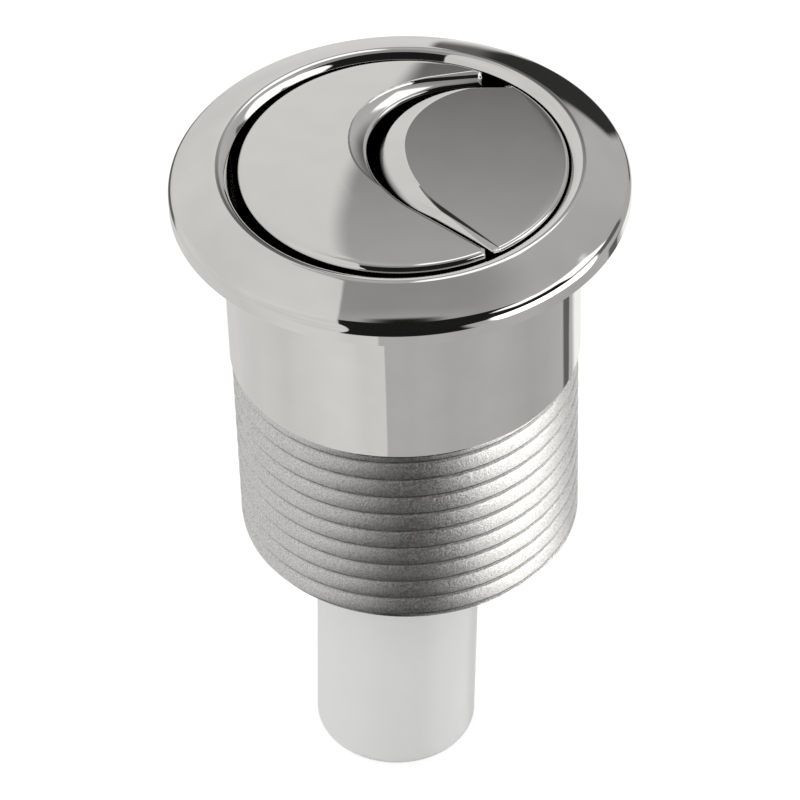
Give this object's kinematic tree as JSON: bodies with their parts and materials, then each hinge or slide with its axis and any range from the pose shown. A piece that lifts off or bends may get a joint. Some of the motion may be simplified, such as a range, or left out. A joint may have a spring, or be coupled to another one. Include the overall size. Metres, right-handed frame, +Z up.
{
  "type": "push button cistern actuator",
  "caption": "Round chromed push button for a cistern lid, with a flanged threaded barrel, curved full and half flush buttons, return springs and nested pushers below.",
  "frame": {"origin": "centre of the flange's flat underside, where it sits on the lid, on the barrel's axis", "axes": "+Z up along the barrel's axis towards the buttons, -Y towards the camera, +X towards the half flush button"},
  "size_m": [0.0486, 0.0486, 0.0831],
  "materials": {
    "chrome": "polished chrome plating on moulded plastic",
    "pusher": "natural white acetal, slightly translucent",
    "slider": "white moulded plastic",
    "insert": "white moulded plastic",
    "spring": "stainless spring wire",
    "screw": "stainless steel"
  },
  "bodies": {
    "collar": {"collar": "chrome", "guide_insert": "insert", "retaining_ring": "insert", "full_spring_back": "spring", "full_spring_front": "spring", "half_spring_back": "spring", "half_spring_front": "spring"},
    "full_flush": {"full_flush_cap": "chrome", "full_flush_slider": "slider", "full_cap_screw_back": "screw", "full_cap_screw_front": "screw", "full_flush_sleeve": "pusher"},
    "half_flush": {"half_flush_cap": "chrome", "half_flush_slider": "slider", "half_cap_screw_back": "screw", "half_cap_screw_front": "screw", "half_flush_pin": "pusher"}
  },
  "joints": [
    {"name": "full_flush_press", "type": "slide", "parent": "collar", "child": "full_flush", "axis": [0, 0, -1], "range_m": [0, 0.006], "stiffness_N_per_m": 2360, "springref_m": -0.003, "deforming": ["full_spring_back", "full_spring_front"]},
    {"name": "half_flush_press", "type": "slide", "parent": "collar", "child": "half_flush", "axis": [0, 0, -1], "range_m": [0, 0.006], "stiffness_N_per_m": 2360, "springref_m": -0.003, "deforming": ["half_spring_back", "half_spring_front"]}
  ]
}
